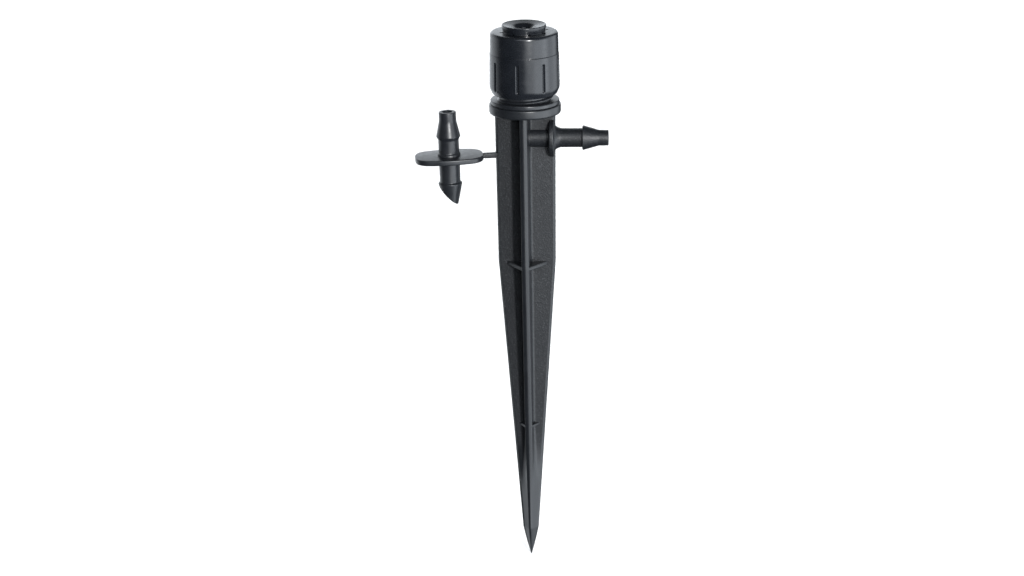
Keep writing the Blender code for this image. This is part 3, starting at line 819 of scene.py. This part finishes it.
def spark_eroded_plastic():
    """Black plastic from a spark-eroded mould: grainy on the blade, smoother on flange and point."""
    material, tree, surface = nodes_of("stake_plastic")
    place = object_space(tree)
    split = tree.nodes.new("ShaderNodeSeparateXYZ")
    tree.links.new(place, split.inputs["Vector"])
    height = split.outputs["Z"]
    above_point = remap(tree, height, 14 * MM, 36 * MM, 0.12, 1.0)
    below_flange = remap(tree, height, 109.4 * MM, 109.9 * MM, 1.0, 0.15)
    across = maths(tree, "ABSOLUTE", split.outputs["X"])
    beside_rib = remap(tree, across, RIB_HALF, RIB_HALF + 0.2 * MM, 0.35, 1.0)
    tall_part = maths(tree, "MULTIPLY", above_point, below_flange)
    grain_share = maths(tree, "MULTIPLY", tall_part, beside_rib)
    grain = noise(tree, place, 3400.0, 2.0, 0.6)
    fine = noise(tree, place, 9000.0, 2.0)
    broad = noise(tree, place, 260.0, 3.0)
    grainy = ramp(tree, grain, GRAINY_COLOURS)
    plain = ramp(tree, broad, PLAIN_COLOURS)
    blend = tree.nodes.new("ShaderNodeMix")
    blend.data_type = "RGBA"
    tree.links.new(grain_share, blend.inputs["Factor"])
    tree.links.new(plain, blend.inputs["A"])
    tree.links.new(grainy, blend.inputs["B"])
    tree.links.new(blend.outputs["Result"], surface.inputs["Base Color"])
    plain_rough = remap(tree, broad, 0.3, 0.7, 0.30, 0.37)
    rough = maths(tree, "MULTIPLY_ADD", grain_share, 0.13, plain_rough)
    tree.links.new(rough, surface.inputs["Roughness"])
    coarse_bump = bump(tree, grain, maths(tree, "MULTIPLY", grain_share, 0.9), 0.06 * MM)
    tree.links.new(bump(tree, fine, 0.18, 0.02 * MM, coarse_bump), surface.inputs["Normal"])
    return material


def satin_plastic(name, dark, light, roughness, skin_strength):
    """Smooth moulded black plastic with slight flow marks and a fine skin."""
    material, tree, surface = nodes_of(name)
    place = object_space(tree)
    broad = noise(tree, place, 320.0, 3.0)
    skin = noise(tree, place, 6500.0, 2.0)
    flow = noise(tree, place, 900.0, 4.0)
    tree.links.new(ramp(tree, broad, [(0.3, dark), (0.7, light)]), surface.inputs["Base Color"])
    rough = remap(tree, flow, 0.3, 0.7, roughness - 0.04, roughness + 0.05)
    tree.links.new(rough, surface.inputs["Roughness"])
    waves = bump(tree, flow, 0.06, 0.05 * MM)
    tree.links.new(bump(tree, skin, skin_strength, 0.02 * MM, waves), surface.inputs["Normal"])
    return material


def dress(piece, material):
    """Give a piece one material."""
    piece.data.materials.clear()
    piece.data.materials.append(material)


# ------------------------------------------------------- floor, light, camera

VIEW_AZIMUTH = 4.3
VIEW_ELEVATION = 17.5
VIEW_ROLL = math.radians(0.93)
VIEW_DISTANCE = 0.7
VIEW_TARGET = Vector((-3.69 * MM, 0.0, 67.08 * MM))
LENS = 104.73
SENSOR = 36.0

# Soft patches of light: (azimuth, elevation), inner and outer half angle in degrees, strength
SURROUND = [
    ((184.0, 16.0), 8.0, 30.0, 1.15),
    ((-138.0, -12.0), 18.0, 54.0, 1.4),
    ((62.0, -16.0), 8.0, 33.0, 3.8),
    ((104.0, -6.0), 15.0, 42.0, 2.0),
    ((26.0, -13.0), 4.0, 26.0, 2.0),
    ((-2.0, 33.0), 5.0, 24.0, 2.6),
    ((12.0, 16.0), 3.0, 20.0, 1.3),
]
SURROUND_BASE = 0.025
LIGHT_TINT = (0.88, 0.94, 1.0)
KEY_AZIMUTH = 21.0
KEY_ELEVATION = 13.0
KEY_DISTANCE = 0.9
KEY_SIZE = 0.06
KEY_POWER = 7.5
LIT_MIDDLE = Vector((0.0, 0.0, 80 * MM))
FLOOR_SIZE = 3.0
FLOOR_Z = -0.1 * MM
FLOOR_SHADES = [(0.3, (0.87, 0.875, 0.88)), (0.7, (0.89, 0.895, 0.90))]
FLOOR_LAMP = 3.3
FLOOR_LAMP_SPREAD = math.radians(60.0)


def direction(azimuth, elevation):
    """A unit vector towards an azimuth from the front, towards +X, and an elevation."""
    azimuth, elevation = math.radians(azimuth), math.radians(elevation)
    flat = math.cos(elevation)
    return Vector((math.sin(azimuth) * flat, -math.cos(azimuth) * flat, math.sin(elevation)))


def make_camera():
    """The camera at the viewing angle, rolled so that the stake leans a little."""
    data = bpy.data.cameras.new("view")
    data.lens = LENS
    data.sensor_width = SENSOR
    data.clip_start = 0.01
    camera = bpy.data.objects.new("view", data)
    bpy.context.scene.collection.objects.link(camera)
    towards = direction(VIEW_AZIMUTH, VIEW_ELEVATION)
    aim = (-towards).to_track_quat("-Z", "Y").to_matrix().to_4x4()
    spot = Matrix.Translation(VIEW_TARGET + towards * VIEW_DISTANCE)
    camera.matrix_world = spot @ aim @ Matrix.Rotation(-VIEW_ROLL, 4, "Z")
    bpy.context.scene.camera = camera


def make_key():
    """The compact key light, from the front right."""
    data = bpy.data.lights.new("key", "AREA")
    data.shape = "RECTANGLE"
    data.size = data.size_y = KEY_SIZE
    data.energy = KEY_POWER
    light = bpy.data.objects.new("key", data)
    bpy.context.scene.collection.objects.link(light)
    towards = direction(KEY_AZIMUTH, KEY_ELEVATION)
    aim = (-towards).to_track_quat("-Z", "Y").to_matrix().to_4x4()
    light.matrix_world = Matrix.Translation(LIT_MIDDLE + towards * KEY_DISTANCE) @ aim
    light.visible_camera = False


def surround_lobe(tree, towards, inner, outer):
    """A soft patch of light in the surround: 1 within the inner angle, 0 past the outer."""
    place = tree.nodes.new("ShaderNodeTexCoord").outputs["Generated"]
    dot = tree.nodes.new("ShaderNodeVectorMath")
    dot.operation = "DOT_PRODUCT"
    tree.links.new(place, dot.inputs[0])
    dot.inputs[1].default_value = direction(*towards)
    node = tree.nodes.new("ShaderNodeMapRange")
    node.interpolation_type = "SMOOTHSTEP"
    node.inputs["From Min"].default_value = math.cos(math.radians(outer))
    node.inputs["From Max"].default_value = math.cos(math.radians(inner))
    tree.links.new(dot.outputs["Value"], node.inputs["Value"])
    return node.outputs["Result"]


def make_surround():
    """A white surround to the eye; the part is lit by soft patches, darker to the front left."""
    world = bpy.data.worlds.new("surround")
    world.use_nodes = True
    tree = world.node_tree
    total = None
    for towards, inner, outer, strength in SURROUND:
        lobe = surround_lobe(tree, towards, inner, outer)
        total = maths(tree, "MULTIPLY_ADD", lobe, strength, 0.0 if total is None else total)
    light = maths(tree, "ADD", total, SURROUND_BASE)
    tint = tree.nodes.new("ShaderNodeVectorMath")
    tint.operation = "SCALE"
    tint.inputs[0].default_value = LIGHT_TINT
    tree.links.new(light, tint.inputs["Scale"])
    path = tree.nodes.new("ShaderNodeLightPath")
    seen = tree.nodes.new("ShaderNodeMix")
    seen.data_type = "RGBA"
    tree.links.new(path.outputs["Is Camera Ray"], seen.inputs["Factor"])
    tree.links.new(tint.outputs["Vector"], seen.inputs["A"])
    seen.inputs["B"].default_value = (1.0, 1.0, 1.0, 1.0)
    tree.links.new(seen.outputs["Result"], tree.nodes["Background"].inputs["Color"])
    bpy.context.scene.world = world


def make_floor():
    """A pale floor, lit by a lamp of its own so that it stays white behind the dark part."""
    shape = bmesh.new()
    bmesh.ops.create_grid(shape, x_segments=1, y_segments=1, size=FLOOR_SIZE)
    floor = make_piece("floor", shape)
    floor.location.z = FLOOR_Z
    material, tree, surface = nodes_of("floor_paint")
    shade = ramp(tree, noise(tree, object_space(tree), 30.0), FLOOR_SHADES)
    tree.links.new(shade, surface.inputs["Base Color"])
    surface.inputs["Roughness"].default_value = 0.9
    surface.inputs["Specular IOR Level"].default_value = 0.0
    dress(floor, material)
    floor.visible_diffuse = False
    floor.visible_glossy = False
    floor.visible_shadow = False
    lamp = bpy.data.lights.new("floor_lamp", "SUN")
    lamp.energy = FLOOR_LAMP
    lamp.angle = FLOOR_LAMP_SPREAD
    sun = bpy.data.objects.new("floor_lamp", lamp)
    bpy.context.scene.collection.objects.link(sun)
    lit = bpy.data.collections.new("floor_only")
    lit.objects.link(floor)
    sun.light_linking.receiver_collection = lit


make_camera()
stake_material = spark_eroded_plastic()
dress(make_stake(), stake_material)
dress(make_web(), stake_material)
dress(make_emitter_base(), satin_plastic(*BASE_PLASTIC))
dress(make_cap(), satin_plastic(*CAP_PLASTIC))
dress(make_spare(), satin_plastic(*SPARE_PLASTIC))
dress(make_seal(), satin_plastic(*SEAL_RUBBER))
make_surround()
make_floor()
make_key()
bpy.context.scene.view_settings.view_transform = "Standard"
